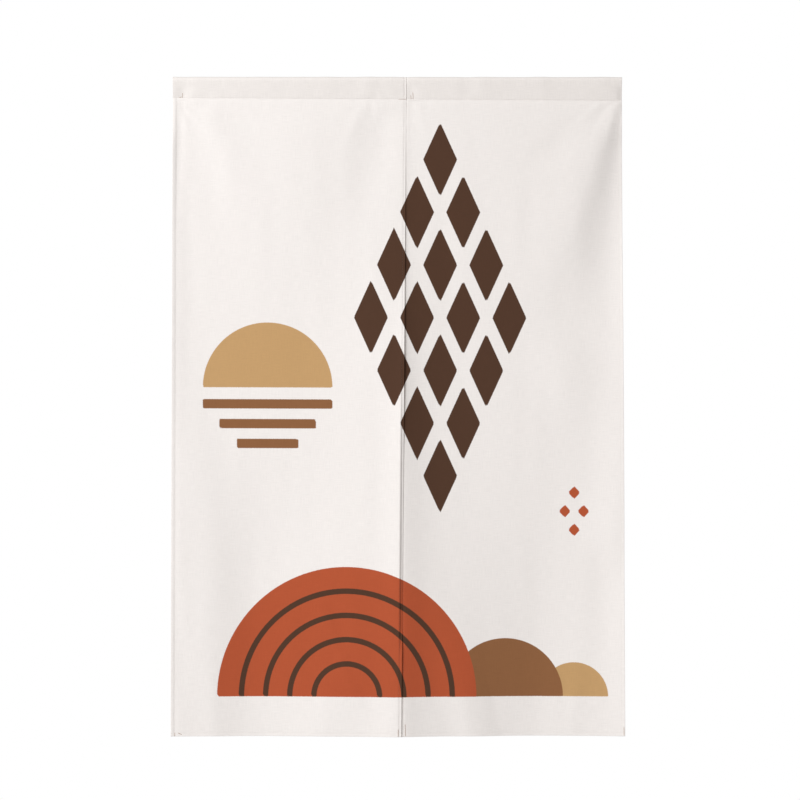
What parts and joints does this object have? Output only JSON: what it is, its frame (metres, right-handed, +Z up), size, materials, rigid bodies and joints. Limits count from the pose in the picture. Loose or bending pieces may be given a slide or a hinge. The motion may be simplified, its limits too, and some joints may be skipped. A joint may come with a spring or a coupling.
{
  "type": "noren curtain",
  "caption": "Split cloth curtain for a doorway: two panels under one rod tunnel, just lapped, hanging in shallow folds.",
  "frame": {"origin": "middle of the heading's top edge, over the middle of the rod tunnel", "axes": "+Z up, against the hang of the cloth; +X along the rod to the viewer's right; -Y towards the viewer"},
  "size_m": [0.8265, 0.0269, 1.2],
  "materials": {
    "heading": "plain linen-look weave",
    "panel": "plain linen-look weave, printed"
  },
  "bodies": {
    "root": {"heading": "heading", "left_panel": "panel", "right_panel": "panel"}
  },
  "joints": []
}
